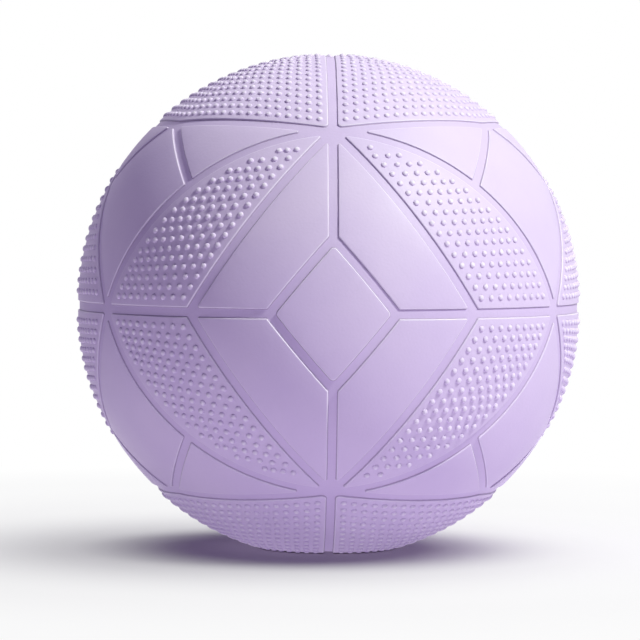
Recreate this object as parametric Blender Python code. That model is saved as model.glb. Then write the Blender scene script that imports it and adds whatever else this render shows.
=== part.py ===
"""Small soft exercise ball: an airtight carcass under raised panels, with a valve plug that pulls out."""
import math

import bmesh
import bpy
from mathutils import Matrix, Quaternion, Vector
from mathutils.geometry import delaunay_2d_cdt

# The ball, in metres
ball_diameter = 0.230
panel_thickness = 0.0007
carcass_wall = 0.0006
squash_depth = 0.0034
bond_gap = 0.0003

# The channels between the panels, in metres
channel_width = 0.0043
corner_ease = 0.0018

# The panel pattern, as angles on the ball in degrees
diamond_half_height = 16.5
diamond_half_width = 13.9
node_latitude = 43.5
shoulder_latitude = 45.9
crescent_foot = 32.9
crescent_bow = 5.1
flank_bow = 1.2
ring_bow = -2.7

# How far along a crescent's outer edge the kite's side corner lies, from the node
kite_corner_share = 0.49

# The studs, in metres: their own size, their rows on the crescents and their rows on the caps.
# A margin runs from a panel's edge to the middle of the nearest stud.
stud_diameter = 0.0029
stud_height = 0.0009
crescent_stud_pitch = 0.0050
crescent_row_pitch = 0.0047
waist_margin = 0.0045
flank_margin = 0.0038
outer_margin = 0.0041
cap_stud_pitch = 0.0048
cap_row_pitch = 0.0050
ring_margin = 0.0039
seam_margin = 0.0036

# How much wider a crescent's pitch starts on its flank side, as a share of the pitch
row_spread = 0.12

# How far a crescent's rows rise over lean_run of longitude, in degrees, by its level and its hand.
# The lean builds up over the first lean_rows from the waist.
lean_run = 20
lean_rows = 6
row_lean = {("upper", "r"): 0.8, ("lower", "r"): -0.8, ("upper", "l"): -1.4, ("lower", "l"): -2.6}

# Every second stud of every second row is modelled, as a low pyramid
stud_stride = 2
stud_sides = 4

# The valve and its plug, in metres
bore_diameter = 0.0078
running_gap = 0.0003
plug_head_diameter = 0.0124
plug_head_thickness = 0.0016
plug_stem_length = 0.0110
plug_tip_length = 0.0020
rib_height = 0.0004
rib_length = 0.0018
nail_gap = 0.0008
valve_rim_width = 0.0030
flange_reach = 0.0050
flange_thickness = 0.0012
boss_wall = 0.0030
boss_length = 0.0100

# Mesh fineness: edge length on the panels and the distance that welds points, in metres, then counts
facet_size = 0.0105
weld_distance = 1e-7
row_steps = 400
carcass_steps = 48
carcass_rings = 24
valve_steps = 24
dome_steps = 3
rib_count = 3
sharp_angle = 20

# Colours, as linear red, green and blue, and roughness
smooth_colour = (0.54, 0.44, 0.70)
studded_colour = (0.52, 0.42, 0.68)
carcass_colour = (0.48, 0.38, 0.64)
plug_colour = (0.80, 0.78, 0.84)
rubber_roughness = 0.5
plug_roughness = 0.4

# The diamonds round the waist, each with the gap to the next one on its right
sectors = ("front", "right", "left")
gaps = ("front_right", "back", "front_left")
valve_sector = "left"

# Worked out from the sizes above
ball_radius = ball_diameter / 2
facet_dip = facet_size ** 2 / (8 * ball_radius)
panel_inner_radius = ball_radius - panel_thickness
carcass_radius = panel_inner_radius - facet_dip - bond_gap
lining_radius = carcass_radius - carcass_wall
centre_height = ball_radius - squash_depth
half_channel = channel_width / 2
sector_turn = 2 * math.pi / len(sectors)
half_sector = math.degrees(sector_turn) / 2
valve_turn = sectors.index(valve_sector) * sector_turn
bore_radius = bore_diameter / 2
plug_head_radius = plug_head_diameter / 2
recess_radius = plug_head_radius + nail_gap
valve_radius = recess_radius + valve_rim_width
valve_hole_radius = valve_radius + bond_gap
flange_radius = valve_radius + flange_reach
flange_seat_radius = lining_radius - bond_gap


def direction(latitude, longitude):
    """Unit vector at a place on the ball, in degrees. Longitude 0 is the front and runs to the right."""
    up = math.radians(latitude)
    round_waist = math.radians(longitude)
    level = Vector((math.sin(round_waist), -math.cos(round_waist), 0))
    return level * math.cos(up) + Vector((0, 0, math.sin(up)))


def bowed_edge(start, end, bow=0.0):
    """Circle on the unit ball from start to end, its middle bow degrees left of the straight course.

    An edge is a normal and an offset. The panel it bounds lies on its left, where normal . point >= offset.
    """
    side = start.cross(end).normalized()
    lean = math.radians(bow)
    middle = (start + end).normalized() * math.cos(lean) + side * math.sin(lean)
    normal = (middle - start).cross(end - middle).normalized()
    return normal, normal.dot(start)


def reversed_edge(edge):
    """The same circle, bounding the panel on its other side."""
    normal, offset = edge
    return -normal, -offset


def mirrored(point):
    """A point or an edge's normal, reflected in the upright plane midway between two diamonds."""
    across = direction(0, half_sector + 90)
    return point - across * 2 * point.dot(across)


def mirrored_edge(edge):
    normal, offset = edge
    return mirrored(normal), offset


def turn_along(edge, start, end):
    """Angle about an edge's own centre, going round it from start to end."""
    normal, offset = edge
    centre = normal * offset
    from_spoke = start - centre
    to_spoke = end - centre
    turn = math.atan2(normal.dot(from_spoke.cross(to_spoke)), from_spoke.dot(to_spoke))
    return turn % (2 * math.pi)


def point_along(edge, start, turn):
    normal, offset = edge
    centre = normal * offset
    return centre + Quaternion(normal, turn) @ (start - centre)


def moved_in(edge, distance):
    """The same edge, moved into its panel by a distance along the ball, in metres."""
    normal, offset = edge
    return normal, math.sin(math.asin(offset) + distance / ball_radius)


def inset(edge, point):
    """How far a point on the unit ball lies inside an edge, in metres along the ball."""
    normal, offset = edge
    return (math.asin(normal.dot(point)) - math.asin(offset)) * ball_radius


def crossing(first, second, near):
    """Where two edges' circles cross, at the crossing nearest to a given point."""
    (normal_a, offset_a), (normal_b, offset_b) = first, second
    alike = normal_a.dot(normal_b)
    spread = 1 - alike ** 2
    base = (normal_a * (offset_a - offset_b * alike) + normal_b * (offset_b - offset_a * alike)) / spread
    reach = math.sqrt(max(0.0, 1 - base.length_squared) / spread)
    along = normal_a.cross(normal_b) * reach
    return max((base + along, base - along), key=near.dot)


def panel_pattern():
    """Corners and edges of each kind of panel, right of the front diamond and above the waist."""
    top = direction(diamond_half_height, 0)
    bottom = direction(-diamond_half_height, 0)
    east = direction(0, diamond_half_width)
    west = direction(0, -diamond_half_width)
    node = direction(node_latitude, 0)
    foot = direction(0, crescent_foot)
    waist = direction(0, half_sector)
    shoulder = direction(shoulder_latitude, half_sector)
    pole = Vector((0, 0, 1))

    outer = bowed_edge(node, waist, crescent_bow)
    inner = bowed_edge(foot, node, flank_bow)
    ring = bowed_edge(node, shoulder, ring_bow)
    seam = bowed_edge(pole, node)
    corner = point_along(outer, node, turn_along(outer, node, waist) * kite_corner_share)
    strut = bowed_edge(shoulder, corner)

    diamond_corners = (east, top, west, bottom)
    diamond_edges = [bowed_edge(a, b) for a, b in zip(diamond_corners, diamond_corners[1:] + (east,))]
    flank_edges = (bowed_edge(top, east), bowed_edge(east, foot), inner, bowed_edge(node, top))
    crescent_edges = (reversed_edge(inner), bowed_edge(foot, waist), reversed_edge(outer))
    shoulder_edges = (outer, reversed_edge(strut), reversed_edge(ring))
    kite_edges = (mirrored_edge(outer), mirrored_edge(strut), strut, outer)
    cap_edges = (ring, mirrored_edge(ring), mirrored_edge(seam), seam)
    return {
        "diamond": (diamond_corners, diamond_edges),
        "flank": ((top, east, foot, node), flank_edges),
        "crescent": ((node, foot, waist), crescent_edges),
        "shoulder": ((node, corner, shoulder), shoulder_edges),
        "kite": ((waist, mirrored(corner), shoulder, corner), kite_edges),
        "cap": ((node, shoulder, mirrored(node), pole), cap_edges),
    }


def panel_outline(corners, edges):
    """Points round a panel whose edges are already moved in, with each corner eased by one short curve."""
    count = len(edges)
    tips = [crossing(edges[i - 1], edges[i], corners[i]) for i in range(count)]
    runs = []
    for i, edge in enumerate(edges):
        start = tips[i]
        turn = turn_along(edge, start, tips[(i + 1) % count])
        reach = (start - edge[0] * edge[1]).length * ball_radius
        ease = corner_ease / reach
        steps = max(1, round(turn * reach / facet_size))
        turns = [ease + (turn - 2 * ease) * k / steps for k in range(steps + 1)]
        runs.append([point_along(edge, start, part_turn) for part_turn in turns])
    points = []
    for i, run in enumerate(runs):
        points.append((runs[i - 1][-1] + tips[i] * 2 + run[0]).normalized())
        points.extend(run)
    return points


def spaced(row, pitch, spread=0.0):
    """Points at even steps along a row of close points, with the pitch a little wider at its start."""
    reaches = [0.0]
    for first, second in zip(row, row[1:]):
        reaches.append(reaches[-1] + (second - first).length * ball_radius)
    steps = round(reaches[-1] / pitch)
    if steps == 0:
        return [row[len(row) // 2]]
    points = []
    place = 0
    for k in range(steps + 1):
        part = k / steps
        target = reaches[-1] * part * (1 + spread * (1 - part))
        while place < len(row) - 2 and reaches[place + 1] < target:
            place += 1
        along = (target - reaches[place]) / (reaches[place + 1] - reaches[place])
        points.append(row[place].lerp(row[place + 1], along).normalized())
    return points


def crescent_studs(edges, lean):
    """Places of a crescent's studs, in rows that start at its flank and keep near the waist's level."""
    inner = moved_in(edges[0], half_channel + flank_margin)
    outer = moved_in(edges[2], half_channel + outer_margin)
    first_level = math.degrees((half_channel + waist_margin) / ball_radius)
    level_step = math.degrees(crescent_row_pitch / ball_radius)
    row_count = math.ceil((node_latitude - first_level) / level_step)
    longitudes = [half_sector * n / row_steps for n in range(row_steps + 1)]
    places = []
    for k in range(0, row_count, stud_stride):
        level = first_level + k * level_step
        start = crescent_foot * (1 - level / node_latitude)
        slope = lean * min(1, (k + 1) / lean_rows) / lean_run
        line = [direction(level + slope * (longitude - start), longitude) for longitude in longitudes]
        row = [point for point in line if inset(inner, point) > 0 and inset(outer, point) > 0]
        if len(row) > 1:
            places.extend(spaced(row, crescent_stud_pitch, row_spread)[::stud_stride])
    return places


def cap_studs(edges):
    """Places of a cap's studs, in rows that follow its lower edge from seam to seam."""
    ring, _, _, seam = edges
    side = moved_in(seam, half_channel + seam_margin)
    middle_plane = (direction(0, half_sector + 90), 0.0)
    pole = Vector((0, 0, 1))
    places = []
    margin = half_channel + ring_margin
    while True:
        line = moved_in(ring, margin)
        start = crossing(line, side, pole)
        turn = turn_along(line, start, crossing(line, middle_plane, pole))
        if turn > math.pi:
            return places
        half_row = [point_along(line, start, turn * n / row_steps) for n in range(row_steps + 1)]
        row = half_row + [mirrored(point) for point in half_row[-2::-1]]
        places.extend(spaced(row, cap_stud_pitch)[::stud_stride])
        margin += cap_row_pitch * stud_stride


def stud_foot(place):
    """Corners of a stud's foot on the unit ball, the first one level with its middle."""
    level = Vector((0, 0, 1)).cross(place).normalized()
    reach = stud_diameter / 2 / ball_radius
    first = place * math.cos(reach) + level * math.sin(reach)
    return [Quaternion(place, 2 * math.pi * k / stud_sides) @ first for k in range(stud_sides)]


def add_surface(shape, radius, flip, corners, edges, hole_angle, studs=()):
    """Add one skin of a panel to a bmesh, at a radius about the ball's centre, and return its points.

    It is made of even triangles, with a round hole or a pyramid for each stud if asked, then mirrored, and
    creased round the patch that the ball rests on.
    """
    edges = [moved_in(edge, half_channel) for edge in edges]
    loops = [panel_outline(corners, edges)]
    out = sum(corners, Vector()).normalized()
    side = out.orthogonal().normalized()
    up = out.cross(side)
    if hole_angle:
        rim = (-out, -math.cos(hole_angle))
        first = Quaternion(side, hole_angle) @ out
        loops.append([Quaternion(out, 2 * math.pi * k / valve_steps) @ first for k in range(valve_steps)])
        edges.append(rim)
    loops.extend(stud_foot(stud) for stud in studs)

    def flattened(point):
        return Vector((point.dot(side), point.dot(up))) * (2 / (1 + point.dot(out)))

    def raised(spot):
        depth = (4 - spot.length_squared) / (4 + spot.length_squared)
        return out * depth + (side * spot.x + up * spot.y) * ((1 + depth) / 2)

    step = facet_size / ball_radius
    row_step = step * math.sin(math.radians(60))
    rows = math.ceil(2 / row_step)
    columns = math.ceil(2 / step)
    spots = [flattened(point) for loop in loops for point in loop]
    links = []
    for loop in loops:
        base = len(links)
        links.extend((base + k, base + (k + 1) % len(loop)) for k in range(len(loop)))
    tops = range(len(spots), len(spots) + len(studs))
    spots.extend(flattened(stud) for stud in studs)
    for row in range(-rows, rows + 1):
        for column in range(-columns, columns + 1):
            spot = Vector(((column + row % 2 / 2) * step, row * row_step))
            point = raised(spot)
            within = all(inset(edge, point) > facet_size / 2 for edge in edges)
            if within and all(stud.dot(point) < math.cos(step) for stud in studs):
                spots.append(spot)
    inside_only = 1
    spots, _, faces, origins, *_ = delaunay_2d_cdt(spots, links, [], inside_only, weld_distance / ball_radius)

    points = []
    for spot, sources in zip(spots, origins):
        is_top = any(source in tops for source in sources)
        points.append(shape.verts.new(raised(spot) * (radius + stud_height if is_top else radius)))
    skin = []
    for face in faces:
        middle = sum((points[k].co for k in face), Vector()) / len(face)
        if not hole_angle or middle.normalized().dot(out) < math.cos(hole_angle):
            skin.append(shape.faces.new([points[k] for k in face]))
    bmesh.ops.delete(shape, geom=[vert for vert in points if not vert.link_faces], context="VERTS")
    points = [vert for vert in points if vert.is_valid]
    bmesh.ops.transform(shape, matrix=flip, verts=points)
    skin_edges = list(dict.fromkeys(edge for face in skin for edge in face.edges))
    ground = Vector((0, 0, -centre_height * radius / ball_radius))
    creased = bmesh.ops.bisect_plane(
        shape,
        geom=points + skin_edges + skin,
        dist=weld_distance,
        plane_co=ground,
        plane_no=(0, 0, 1),
    )
    return [item for item in creased["geom"] if isinstance(item, bmesh.types.BMVert)]


def press_flat(verts, radius):
    """Flatten points of a round skin of this radius where the ball's weight presses it on the ground."""
    for vert in verts:
        vert.co.z = max(vert.co.z, squash_depth - radius)


def finished_mesh(shape, name, material):
    """Turn a bmesh into a smooth-shaded mesh with its material."""
    bmesh.ops.recalc_face_normals(shape, faces=shape.faces[:])
    mesh = bpy.data.meshes.new(name)
    shape.to_mesh(mesh)
    shape.free()
    mesh.materials.append(material)
    mesh.shade_smooth()
    mesh.set_sharp_from_angle(angle=math.radians(sharp_angle))
    return mesh


def panel_mesh(name, corners, edges, material, sideways=1, upward=1, hole_angle=0.0, studs=()):
    """One panel about the ball's centre: a face with its studs, a plain back and the wall between them.

    Studs that the ball's weight presses into the ground are left off.
    """
    flip = Matrix.Diagonal((sideways, 1, upward)).to_4x4()
    standing = [stud for stud in studs if upward * stud.z * (ball_radius + stud_height) > -centre_height]
    shape = bmesh.new()
    outside = add_surface(shape, ball_radius, flip, corners, edges, hole_angle, standing)
    wall = bmesh.ops.extrude_edge_only(shape, edges=[edge for edge in shape.edges if edge.is_boundary])
    foot = [item for item in wall["geom"] if isinstance(item, bmesh.types.BMVert)]
    for vert in foot:
        vert.co *= panel_inner_radius / ball_radius
    inside = add_surface(shape, panel_inner_radius, flip, corners, edges, hole_angle)
    press_flat(outside, ball_radius)
    press_flat(foot + inside, panel_inner_radius)
    bmesh.ops.remove_doubles(shape, verts=foot + inside, dist=weld_distance)
    return finished_mesh(shape, name, material)


def turned(profile, steps, closed=True):
    """Turn a profile of (radius, height) points about Z. A closed profile makes a ring-like body."""
    shape = bmesh.new()
    points = [shape.verts.new((radius, 0, height)) for radius, height in profile]
    for first, second in zip(points, points[1:]):
        shape.edges.new((first, second))
    if closed:
        shape.edges.new((points[-1], points[0]))
    bmesh.ops.spin(
        shape,
        geom=shape.verts[:] + shape.edges[:],
        cent=(0, 0, 0),
        axis=(0, 0, 1),
        angle=2 * math.pi,
        steps=steps,
        use_merge=True,
    )
    bmesh.ops.remove_doubles(shape, verts=shape.verts[:], dist=weld_distance)
    return shape


def sphere_height(radius, reach):
    """Height at which a ball of this radius is reach away from its axis."""
    return math.sqrt(radius ** 2 - reach ** 2)


def round_skin(radius, start):
    """Profile of a round skin from an angle off the valve's axis to the far pole."""
    angles = [start + (math.pi - start) * k / carcass_rings for k in range(carcass_rings)]
    return [(radius * math.sin(angle), radius * math.cos(angle)) for angle in angles] + [(0.0, -radius)]


def valve_frame():
    """Rotation that turns +Z to the valve's own way out of the ball."""
    return Matrix.Rotation(valve_turn, 4, "Z") @ Matrix.Rotation(math.radians(90), 4, "X")


def carcass_mesh(material):
    """Hollow airtight skin, open only at the valve's hole, pressed flat where the ball rests."""
    outside = round_skin(carcass_radius, math.asin(valve_hole_radius / carcass_radius))
    flange_clear = math.asin((flange_radius + flange_thickness) / lining_radius)
    hole_edge = (valve_hole_radius, sphere_height(lining_radius, valve_hole_radius))
    lining = [hole_edge] + round_skin(lining_radius, flange_clear)
    shape = turned(outside[::-1] + lining, carcass_steps, closed=False)
    half_way = (carcass_radius + lining_radius) / 2
    outer = [vert for vert in shape.verts if vert.co.length > half_way]
    inner = [vert for vert in shape.verts if vert.co.length <= half_way]
    bmesh.ops.transform(shape, matrix=valve_frame(), verts=shape.verts[:])
    press_flat(outer, carcass_radius)
    press_flat(inner, lining_radius)
    return finished_mesh(shape, "carcass", material)


def dome(radius, inner_reach, outer_reach):
    """Profile points across a face that follows the ball, from the inner reach to the outer one."""
    reaches = [inner_reach + (outer_reach - inner_reach) * k / dome_steps for k in range(dome_steps + 1)]
    return [(reach, sphere_height(radius, reach)) for reach in reaches]


def valve_bush_mesh(material):
    """Collar through the panel and the carcass: a flange inside, a recess for the plug's head and a bore."""
    recess_floor = ball_radius - plug_head_thickness - bond_gap
    seat = dome(flange_seat_radius, valve_radius, flange_radius)
    underside = seat[-1][1] - flange_thickness
    boss_radius = bore_radius + boss_wall
    profile = dome(ball_radius, recess_radius, valve_radius) + seat
    profile += [
        (flange_radius, underside),
        (boss_radius, underside),
        (boss_radius, underside - boss_length),
        (bore_radius, underside - boss_length),
        (bore_radius, recess_floor),
        (recess_radius, recess_floor),
    ]
    return finished_mesh(turned(profile, valve_steps), "valve_bush", material)


def valve_plug_mesh(material):
    """Stopper with a domed head and a ribbed stem. Its origin is the top of the head, on its axis."""
    rib_radius = bore_radius - running_gap
    stem_radius = rib_radius - rib_height
    tip_radius = stem_radius - rib_height
    rib_pitch = (plug_stem_length - plug_tip_length) / rib_count
    profile = [(reach, height - ball_radius) for reach, height in dome(ball_radius, 0.0, plug_head_radius)]
    profile.append((plug_head_radius, -plug_head_thickness))
    for rib in range(rib_count):
        start = -plug_head_thickness - rib * rib_pitch - (rib_pitch - rib_length) / 2
        if rib == 0:
            profile.append((stem_radius, -plug_head_thickness))
        profile += [
            (stem_radius, start),
            (rib_radius, start - rib_length / 2),
            (stem_radius, start - rib_length),
        ]
    end = -plug_head_thickness - plug_stem_length
    profile += [(stem_radius, end + plug_tip_length), (tip_radius, end), (0.0, end)]
    return finished_mesh(turned(profile, valve_steps, closed=False), "valve_plug", material)


def make_material(name, colour, roughness):
    material = bpy.data.materials.new(name)
    material.use_nodes = True
    shader = material.node_tree.nodes["Principled BSDF"]
    shader.inputs["Base Color"].default_value = (*colour, 1.0)
    shader.inputs["Roughness"].default_value = roughness
    shader.inputs["Metallic"].default_value = 0.0
    return material


def place(name, mesh, centre, turn=0.0):
    """One node that shares a mesh built about the ball's centre, turned about the upright axis."""
    node = bpy.data.objects.new(name, mesh)
    node.parent = centre
    node.rotation_euler.z = turn
    bpy.context.collection.objects.link(node)
    return node


def build_panels(centre):
    pattern = panel_pattern()
    materials = {}
    for kind in pattern:
        colour = studded_colour if kind in ("crescent", "cap") else smooth_colour
        materials[kind] = make_material(kind + "_panel", colour, rubber_roughness)

    plain = panel_mesh("diamond", *pattern["diamond"], materials["diamond"])
    hole_angle = math.asin(valve_hole_radius / ball_radius)
    holed = panel_mesh("diamond_valve", *pattern["diamond"], materials["diamond"], hole_angle=hole_angle)
    for index, sector in enumerate(sectors):
        place("diamond_" + sector, holed if sector == valve_sector else plain, centre, index * sector_turn)

    for level, upward in (("upper", 1), ("lower", -1)):
        for kind in ("kite", "cap"):
            studs = cap_studs(pattern["cap"][1]) if kind == "cap" else ()
            mesh = panel_mesh(f"{kind}_{level}", *pattern[kind], materials[kind], upward=upward, studs=studs)
            for index, gap in enumerate(gaps):
                place(f"{kind}_{gap}_{level}", mesh, centre, index * sector_turn)
        for kind in ("flank", "crescent", "shoulder"):
            for hand, sideways in (("r", 1), ("l", -1)):
                name = f"{kind}_{level}_{hand}"
                studs = ()
                if kind == "crescent":
                    studs = crescent_studs(pattern["crescent"][1], row_lean[level, hand])
                mesh = panel_mesh(name, *pattern[kind], materials[kind], sideways, upward, studs=studs)
                for index, sector in enumerate(sectors):
                    place(f"{kind}_{sector}_{level}_{hand}", mesh, centre, index * sector_turn)


def build_body(centre):
    place("carcass", carcass_mesh(make_material("carcass", carcass_colour, rubber_roughness)), centre)
    collar = make_material("valve_bush", carcass_colour, rubber_roughness)
    bush = place("valve_bush", valve_bush_mesh(collar), centre)
    bush.rotation_euler = valve_frame().to_euler()
    stopper = make_material("valve_plug", plug_colour, plug_roughness)
    plug = place("valve_plug", valve_plug_mesh(stopper), centre)
    plug.rotation_euler = valve_frame().to_euler()
    plug.location = valve_frame() @ Vector((0, 0, ball_radius))


def main():
    for item in list(bpy.data.objects):
        bpy.data.objects.remove(item)
    centre = bpy.data.objects.new("ball_centre", None)
    centre.location.z = centre_height
    bpy.context.collection.objects.link(centre)
    build_panels(centre)
    build_body(centre)


main()
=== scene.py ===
"""Looks of a small soft exercise ball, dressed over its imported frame.

Every panel, the carcass and the valve take the place of a node of the frame. The studs are set out
in rows by rule and turned into domes by Geometry Nodes.
"""
import math

import bmesh
import bpy
from bpy.props import FloatProperty, FloatVectorProperty, IntProperty, PointerProperty
from mathutils import Matrix, Quaternion, Vector
from mathutils.geometry import delaunay_2d_cdt


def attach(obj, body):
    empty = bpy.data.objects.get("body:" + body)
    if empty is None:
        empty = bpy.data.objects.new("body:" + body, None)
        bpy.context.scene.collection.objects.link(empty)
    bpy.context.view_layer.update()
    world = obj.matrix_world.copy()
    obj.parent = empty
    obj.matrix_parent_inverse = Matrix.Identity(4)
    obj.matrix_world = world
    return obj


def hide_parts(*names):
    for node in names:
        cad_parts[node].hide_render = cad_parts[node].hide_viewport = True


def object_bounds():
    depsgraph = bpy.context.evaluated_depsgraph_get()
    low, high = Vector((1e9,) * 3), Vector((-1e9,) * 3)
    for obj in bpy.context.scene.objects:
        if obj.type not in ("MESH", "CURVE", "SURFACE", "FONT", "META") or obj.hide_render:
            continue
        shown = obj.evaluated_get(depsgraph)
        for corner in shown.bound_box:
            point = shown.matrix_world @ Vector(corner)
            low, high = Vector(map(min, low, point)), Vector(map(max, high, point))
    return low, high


bl_info = {
    "name": "Mini Pilates Ball",
    "version": (1, 0, 0),
    "blender": (4, 5, 0),
    "location": "View3D > Sidebar > Ball",
    "description": "Builds a soft ball of raised panels with studs, channels and a valve plug",
    "category": "Object",
}

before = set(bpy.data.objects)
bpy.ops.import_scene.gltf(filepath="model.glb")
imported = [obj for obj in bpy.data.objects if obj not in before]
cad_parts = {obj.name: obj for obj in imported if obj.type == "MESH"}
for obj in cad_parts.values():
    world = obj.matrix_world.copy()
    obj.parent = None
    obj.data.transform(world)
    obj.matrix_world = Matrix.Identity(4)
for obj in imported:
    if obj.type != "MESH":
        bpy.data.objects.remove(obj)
cad_low, cad_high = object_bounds()

# Names shared with the frame: a diamond for each sector, and the gap on its right
sectors = ("front", "right", "left")
gaps = ("front_right", "back", "front_left")
levels = (("upper", 1), ("lower", -1))
hands = (("r", 1), ("l", -1))
valve_sector = "left"
sector_turn = 2 * math.pi / len(sectors)
half_sector = sector_turn / 2

# Section through a panel's edge: reach into the channel and height over the panel's face, in metres,
# and how far the edge pales there, partly as worn rubber and partly as painted highlight; below zero,
# painted shade that darkens the crease at its foot
edge_section = (
    (-0.00052, 0.00000, 0.00),
    (-0.00040, -0.00001, 0.50),
    (-0.00028, -0.00004, 0.85),
    (-0.00018, -0.00009, 1.00),
    (-0.00010, -0.00017, 0.80),
    (-0.00004, -0.00028, 0.40),
    (0.00001, -0.00043, -0.30),
    (0.00005, -0.00058, -0.80),
    (0.00010, -0.00067, -1.00),
    (0.00019, -0.00073, -1.00),
    (0.00035, -0.00077, -1.00),
    (0.00055, -0.00083, 0.00),
    (0.00055, -0.00105, 0.00),
)

# Rows of studs lean a little differently on each crescent: rise over lean_run of longitude, in degrees.
# The lean builds up over the first lean_rows from the waist.
lean_run = math.radians(20)
lean_rows = 6
row_lean = {("upper", "r"): 0.8, ("lower", "r"): -0.8, ("upper", "l"): -1.4, ("lower", "l"): -2.6}

# Fineness of the shapes, and the distances that weld points, in metres
row_steps = 400
corner_step = math.radians(15)
hole_steps = 48
skin_rings = 96
skin_steps = 160
rim_steps = 6
head_steps = 8
weld_distance = 1e-7
stud_weld = 1e-5
sharp_angle = math.radians(60)

# How much of an edge's reach shapes the rim of the valve's hole
hole_reach_share = 0.5

# Rounding of a turned profile: a flatter bend than this stays, and a cut takes up to this share of a side
flat_bend = math.radians(165)
longest_cut = 0.45

# How far edges and stud tops pale towards white, partly as worn rubber and partly as painted highlight,
# and how much glossier than the ball the plug is
wear_and_highlight_lift = 0.28
plug_gloss = 0.06

# Lamps round the ball: height over the waist, side to the right of the front, distance and size in metres
fill_spot = (math.radians(10), math.radians(-5), 1.6, 0.8)
back_spot = (math.radians(60), math.radians(-140), 1.2, 0.6)
floor_spot = (math.radians(64), math.radians(100), 1.2, 1.7)

# The lit floor's light on the ball comes from a disc just over the ground, in metres
bounce_place = Vector((0, 0, 0.0005))
bounce_size = 0.8

# The floor's disc in metres, and how much painted white glow it shows at each distance from its middle;
# near the ball the glow pales the outer part of the ball's shadow
stage_radius = 3.0
stage_sides = 96
floor_fade = ((0.06, 0.0), (0.12, 0.46), (0.22, 0.70), (0.35, 0.84), (0.50, 1.0))
white = (1.0, 1.0, 1.0, 1.0)

# Shift of the picture, as a share of its width
camera_shift = (-0.0131, -0.0226)


def length(name, description, default):
    return FloatProperty(name=name, description=description, default=default, precision=5,
                         subtype="DISTANCE", unit="LENGTH")


def angle(name, description, default):
    return FloatProperty(name=name, description=description, default=math.radians(default),
                         subtype="ANGLE", unit="ROTATION")


def share(name, description, default):
    return FloatProperty(name=name, description=description, default=default, min=0.0, max=1.0,
                         subtype="FACTOR")


def colour(name, description, default):
    return FloatVectorProperty(name=name, description=description, default=default, size=3,
                               min=0.0, max=1.0, subtype="COLOR")


def whole(name, description, default, low, high):
    return IntProperty(name=name, description=description, default=default, min=low, max=high)


def watts(name, description, default):
    return FloatProperty(name=name, description=description, default=default, min=0.0, unit="POWER")


class BallSizes(bpy.types.PropertyGroup):
    """Sizes of the ball and its channels, and the angles of its panel pattern"""

    ball_diameter: length("Ball diameter", "Across the panels' faces", round(-2 * cad_low.y, 3))
    squash_depth: length("Squash depth", "How far the resting ball flattens under its weight", 0.0034)
    channel_width: length("Channel width", "Between the faces of neighbouring panels", 0.0043)
    channel_depth: length("Channel depth", "From a panel's face down to the carcass", 0.00076)
    carcass_wall: length("Carcass wall", "Thickness of the airtight skin", 0.00096)
    corner_radius: length("Corner radius", "Rounding of the diamonds' and caps' corners", 0.0018)
    tip_radius: length("Tip radius", "Rounding of the other panels' tips", 0.0006)
    diamond_half_height: angle("Diamond half height", "From a diamond's middle to its top", 16.5)
    diamond_half_width: angle("Diamond half width", "From a diamond's middle to its side corner", 13.9)
    node_latitude: angle("Node latitude", "Where the crescents' tips meet, over the waist", 43.5)
    shoulder_latitude: angle("Shoulder latitude", "Where the shoulders meet the caps, over the waist", 45.9)
    crescent_foot: angle("Crescent foot", "From a diamond's middle to its crescent, round the waist", 32.9)
    crescent_bow: angle("Crescent bow", "Bow of a crescent's outer edge", 5.1)
    flank_bow: angle("Flank bow", "Bow of a crescent's inner edge", 1.2)
    ring_bow: angle("Ring bow", "Bow of a cap's lower edge", -2.7)
    kite_corner_share: share("Kite corner", "Place of a kite's side corner along the crescent's edge", 0.49)
    face_step: length("Face step", "Length of the triangles in a panel's face", 0.0042)
    edge_step: length("Edge step", "Length of the steps along a panel's edge", 0.0028)


class StudSizes(bpy.types.PropertyGroup):
    """Sizes and spacing of the massage studs"""

    stud_diameter: length("Stud diameter", "Across a stud's foot", 0.0029)
    stud_height: length("Stud height", "Of a stud over its panel's face", 0.0009)
    stud_sink: length("Stud sink", "How deep a stud's foot sits in its panel", 0.00015)
    crescent_pitch: length("Crescent pitch", "Between studs along a crescent's row", 0.0050)
    crescent_rows: length("Crescent row pitch", "Between rows on a crescent", 0.0047)
    waist_margin: length("Waist margin", "From a crescent's waist edge to its first row", 0.0045)
    flank_margin: length("Flank margin", "From a crescent's inner edge to its first studs", 0.0038)
    outer_margin: length("Outer margin", "From a crescent's outer edge to its last studs", 0.0041)
    cap_pitch: length("Cap pitch", "Between studs along a cap's row", 0.0048)
    cap_rows: length("Cap row pitch", "Between rows on a cap", 0.0050)
    ring_margin: length("Ring margin", "From a cap's lower edge to its first row", 0.0039)
    seam_margin: length("Seam margin", "From a cap's side edges to its studs", 0.0036)
    row_spread: share("Row spread", "How much wider the pitch starts on a crescent's flank side", 0.12)
    stud_sides: whole("Stud sides", "Steps round a stud", 10, 6, 24)
    stud_rings: whole("Stud rings", "Steps up a stud", 4, 2, 6)


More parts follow.
